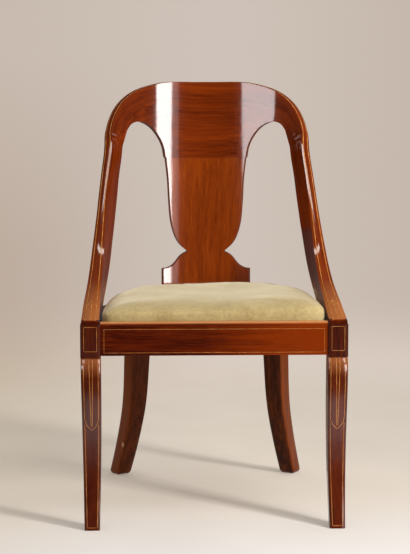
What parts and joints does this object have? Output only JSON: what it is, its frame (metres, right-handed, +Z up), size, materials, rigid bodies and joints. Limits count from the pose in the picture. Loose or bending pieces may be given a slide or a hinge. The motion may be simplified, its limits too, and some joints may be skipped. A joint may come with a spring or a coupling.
{
  "type": "dining chair",
  "caption": "Gondola side chair in polished mahogany with boxwood stringing, sabre legs, a vase splat and a crowned drop-in seat that lifts out.",
  "frame": {"origin": "middle of the chair's box, on the floor", "axes": "+Z up, +Y to the back of the chair, +X to the right as seen from in front"},
  "size_m": [0.51, 0.5362, 0.8502],
  "materials": {
    "polished_mahogany": "French-polished mahogany, glossy",
    "waxed_mahogany": "waxed mahogany, satin and duller than the front",
    "boxwood": "boxwood stringing under the polish",
    "beech": "bare beech",
    "jute_webbing": "woven jute webbing",
    "hessian": "plain-woven hessian",
    "curled_hair": "curled hair and wadding",
    "velvet": "pale green-beige cotton velvet",
    "steel": "plain steel wood screws"
  },
  "bodies": {
    "frame": {"front_leg_left": "polished_mahogany", "front_leg_right": "polished_mahogany", "back_leg_left": "waxed_mahogany", "back_leg_right": "waxed_mahogany", "front_seat_rail": "polished_mahogany", "side_seat_rail_left": "polished_mahogany", "side_seat_rail_right": "polished_mahogany", "back_seat_rail": "polished_mahogany", "stile_left": "polished_mahogany", "stile_right": "polished_mahogany", "crest_rail": "polished_mahogany", "splat": "polished_mahogany", "crest_dowel_left": "beech", "crest_dowel_right": "beech", "block_dowel_left": "beech", "block_dowel_right": "beech", "front_corner_brace_left": "beech", "front_corner_brace_right": "beech", "back_corner_brace_left": "beech", "back_corner_brace_right": "beech", "front_brace_rail_screw_left": "steel", "front_brace_rail_screw_right": "steel", "front_brace_side_screw_left": "steel", "front_brace_side_screw_right": "steel", "back_brace_rail_screw_left": "steel", "back_brace_rail_screw_right": "steel", "back_brace_side_screw_left": "steel", "back_brace_side_screw_right": "steel", "front_rail_string": "boxwood", "block_string_left": "boxwood", "block_string_right": "boxwood", "leg_lancet_string_left": "boxwood", "leg_lancet_string_right": "boxwood", "leg_dagger_inner_string_left": "boxwood", "leg_dagger_inner_string_right": "boxwood", "leg_dagger_outer_string_left": "boxwood", "leg_dagger_outer_string_right": "boxwood", "leg_border_string_left": "boxwood", "leg_border_string_right": "boxwood", "back_string_inner": "boxwood", "back_string_outer": "boxwood", "stile_foot_string_left": "boxwood", "stile_foot_string_right": "boxwood", "stile_arrow_string_left": "boxwood", "stile_arrow_string_right": "boxwood"},
    "seat": {"seat_frame_front": "beech", "seat_frame_back": "beech", "seat_frame_left": "beech", "seat_frame_right": "beech", "webbing_long_left": "jute_webbing", "webbing_long_middle": "jute_webbing", "webbing_long_right": "jute_webbing", "webbing_cross_front": "jute_webbing", "webbing_cross_middle": "jute_webbing", "webbing_cross_back": "jute_webbing", "hessian": "hessian", "seat_pad": "curled_hair", "seat_cover": "velvet"}
  },
  "joints": [
    {"name": "seat_lift", "type": "slide", "parent": "frame", "child": "seat", "axis": [0, 0, 1], "range_m": [0, 0.12]}
  ]
}
